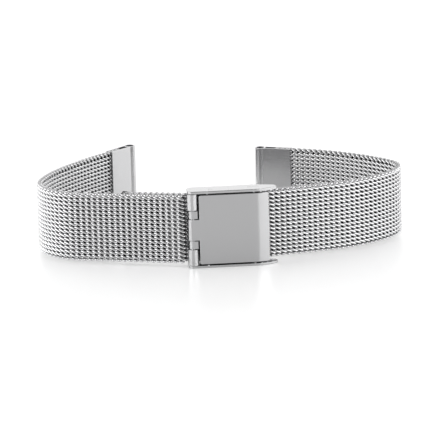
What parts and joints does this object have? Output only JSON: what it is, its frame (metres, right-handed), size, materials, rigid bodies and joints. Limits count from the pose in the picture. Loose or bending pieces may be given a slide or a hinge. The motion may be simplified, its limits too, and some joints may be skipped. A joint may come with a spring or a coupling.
{
  "type": "milanese mesh watch band",
  "caption": "Milanese mesh watch band with a fold-over slider clasp, folded lug ends for spring bars, closed and standing on edge.",
  "frame": {"origin": "middle of the closed band's footprint, at the level it stands on", "axes": "+X along the clasp from its hinge to its nose, +Y from the outside of the clasp towards the wrist, +Z across the strap, up as the band stands on its edge"},
  "size_m": [0.0754, 0.0502, 0.0159],
  "materials": {
    "polished_steel": "polished",
    "woven_wire": "bright woven wire"
  },
  "bodies": {
    "clasp": {"clasp_base": "polished_steel", "hook_plate": "polished_steel", "clasp_mesh": "woven_wire", "lever_pin": "polished_steel"},
    "lid": {"clasp_lid": "polished_steel"},
    "lever": {"lock_lever": "polished_steel"},
    "tail": {"tail_mesh": "woven_wire", "tail_tip": "polished_steel"},
    "short_1": {"short_strap_end": "polished_steel", "hinge_pin": "polished_steel", "short_mesh_1": "woven_wire"},
    "short_2": {"short_mesh_2": "woven_wire"},
    "short_3": {"short_mesh_3": "woven_wire"},
    "short_4": {"short_mesh_4": "woven_wire"},
    "short_5": {"short_mesh_5": "woven_wire"},
    "short_6": {"short_mesh_6": "woven_wire"},
    "short_7": {"short_mesh_7": "woven_wire", "short_lug_end": "polished_steel"},
    "long_1": {"long_mesh_1": "woven_wire"},
    "long_2": {"long_mesh_2": "woven_wire"},
    "long_3": {"long_mesh_3": "woven_wire"},
    "long_4": {"long_mesh_4": "woven_wire"},
    "long_5": {"long_mesh_5": "woven_wire"},
    "long_6": {"long_mesh_6": "woven_wire"},
    "long_7": {"long_mesh_7": "woven_wire", "long_lug_end": "polished_steel"}
  },
  "joints": [
    {"name": "lid_hinge", "type": "hinge", "parent": "clasp", "child": "lid", "pos_m": [-0.00737, -0.024, 0.00795], "axis": [0, 0, -1], "range_deg": [0, 90]},
    {"name": "short_strap_pivot", "type": "hinge", "parent": "clasp", "child": "short_1", "pos_m": [-0.00737, -0.024, 0.00795], "axis": [0, 0, 1], "range_deg": [0, 25]},
    {"name": "lock_lever_pivot", "type": "hinge", "parent": "clasp", "child": "lever", "pos_m": [0.00023, -0.02125, 0.00795], "axis": [0, 0, -1], "range_deg": [0, 75]},
    {"name": "tail_flex", "type": "hinge", "parent": "clasp", "child": "tail", "pos_m": [-0.00737, -0.02222, 0.00795], "axis": [0, 0, -1], "range_deg": [0, 15]},
    {"name": "short_flex_1", "type": "hinge", "parent": "short_1", "child": "short_2", "pos_m": [-0.02459, -0.01874, 0.00795], "axis": [0, 0, 1], "range_deg": [-4, 28]},
    {"name": "short_flex_2", "type": "hinge", "parent": "short_2", "child": "short_3", "pos_m": [-0.02993, -0.01705, 0.00795], "axis": [0, 0, 1], "range_deg": [-4, 28]},
    {"name": "short_flex_3", "type": "hinge", "parent": "short_3", "child": "short_4", "pos_m": [-0.03451, -0.01396, 0.00795], "axis": [0, 0, 1], "range_deg": [-4, 28]},
    {"name": "short_flex_4", "type": "hinge", "parent": "short_4", "child": "short_5", "pos_m": [-0.03694, -0.00898, 0.00795], "axis": [0, 0, 1], "range_deg": [-4, 28]},
    {"name": "short_flex_5", "type": "hinge", "parent": "short_5", "child": "short_6", "pos_m": [-0.03665, -0.00345, 0.00795], "axis": [0, 0, 1], "range_deg": [-4, 28]},
    {"name": "short_flex_6", "type": "hinge", "parent": "short_6", "child": "short_7", "pos_m": [-0.03167, 0.00654, 0.00795], "axis": [0, 0, 1], "range_deg": [-4, 28]},
    {"name": "long_flex_1", "type": "hinge", "parent": "clasp", "child": "long_1", "pos_m": [0.01023, -0.02086, 0.00795], "axis": [0, 0, -1], "range_deg": [-4, 28]},
    {"name": "long_flex_2", "type": "hinge", "parent": "long_1", "child": "long_2", "pos_m": [0.0219, -0.01827, 0.00795], "axis": [0, 0, -1], "range_deg": [-4, 28]},
    {"name": "long_flex_3", "type": "hinge", "parent": "long_2", "child": "long_3", "pos_m": [0.02903, -0.01517, 0.00795], "axis": [0, 0, -1], "range_deg": [-4, 28]},
    {"name": "long_flex_4", "type": "hinge", "parent": "long_3", "child": "long_4", "pos_m": [0.03498, -0.01018, 0.00795], "axis": [0, 0, -1], "range_deg": [-4, 28]},
    {"name": "long_flex_5", "type": "hinge", "parent": "long_4", "child": "long_5", "pos_m": [0.03711, -0.00551, 0.00795], "axis": [0, 0, -1], "range_deg": [-4, 28]},
    {"name": "long_flex_6", "type": "hinge", "parent": "long_5", "child": "long_6", "pos_m": [0.03588, -0.00059, 0.00795], "axis": [0, 0, -1], "range_deg": [-4, 28]},
    {"name": "long_flex_7", "type": "hinge", "parent": "long_6", "child": "long_7", "pos_m": [0.02887, 0.00706, 0.00795], "axis": [0, 0, -1], "range_deg": [-4, 28]}
  ]
}
